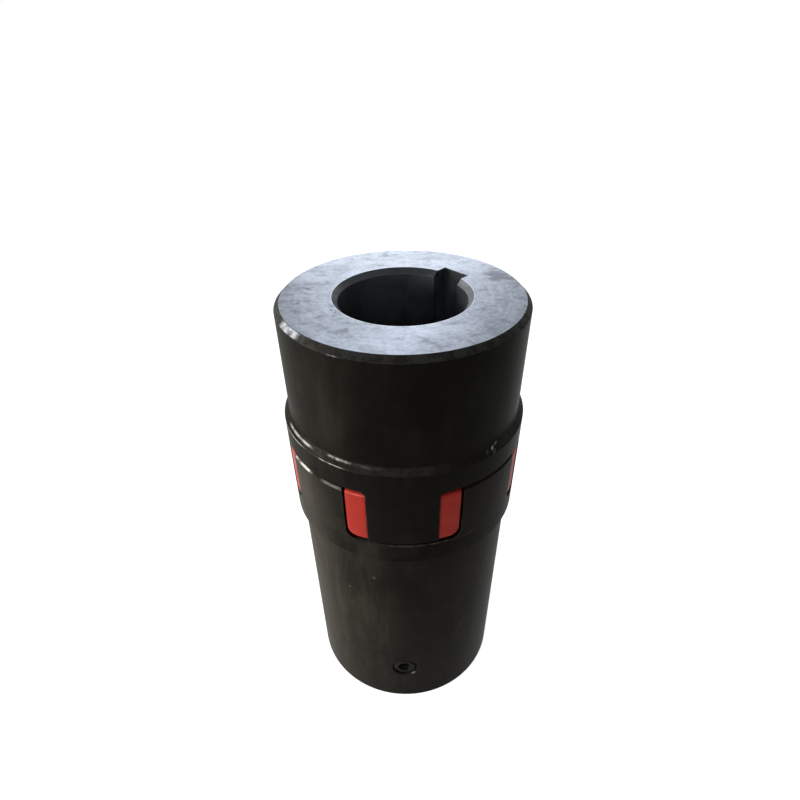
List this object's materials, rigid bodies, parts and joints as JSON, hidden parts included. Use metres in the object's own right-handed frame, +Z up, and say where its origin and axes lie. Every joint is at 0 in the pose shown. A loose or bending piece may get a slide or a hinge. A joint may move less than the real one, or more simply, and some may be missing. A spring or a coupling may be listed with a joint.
{
  "type": "flexible shaft coupling",
  "caption": "Jaw coupling: two keyed hubs whose claws mesh through an elastic spider, for joining two shafts end to end.",
  "frame": {"origin": "centre of the lower end face, on the shaft axis", "axes": "+Z up along the shaft axis, -Y out of the lower set screw towards the viewer of the picture"},
  "size_m": [0.065, 0.065, 0.135],
  "materials": {
    "dark_steel": "turned steel, dark brown-black oxide on the round sides, bare satin grey on the upper end face",
    "red_elastomer": "moulded polyurethane, bright red, satin",
    "screw_steel": "blackened steel with bare worn edges"
  },
  "bodies": {
    "lower": {"lower_hub": "dark_steel"},
    "spider": {"spider": "red_elastomer"},
    "upper": {"upper_hub": "dark_steel"},
    "lower_screw": {"lower_set_screw": "screw_steel"},
    "upper_screw": {"upper_set_screw": "screw_steel"}
  },
  "joints": [
    {"name": "wind_up", "type": "hinge", "parent": "lower", "child": "spider", "pos_m": [0, 0, 0.0894], "axis": [0, 0, 1], "range_deg": [-5, 5], "stiffness_Nm_per_rad": 20, "deforming": ["spider"]},
    {"name": "pull_off", "type": "slide", "parent": "spider", "child": "upper", "axis": [0, 0, 1], "range_m": [0, 0.03]},
    {"name": "lower_screw_travel", "type": "slide", "parent": "lower", "child": "lower_screw", "axis": [0, -1, 0], "range_m": [-0.003, 0.012]},
    {"name": "upper_screw_travel", "type": "slide", "parent": "upper", "child": "upper_screw", "axis": [0.7071, 0.7071, 0], "range_m": [-0.004, 0.014]}
  ]
}
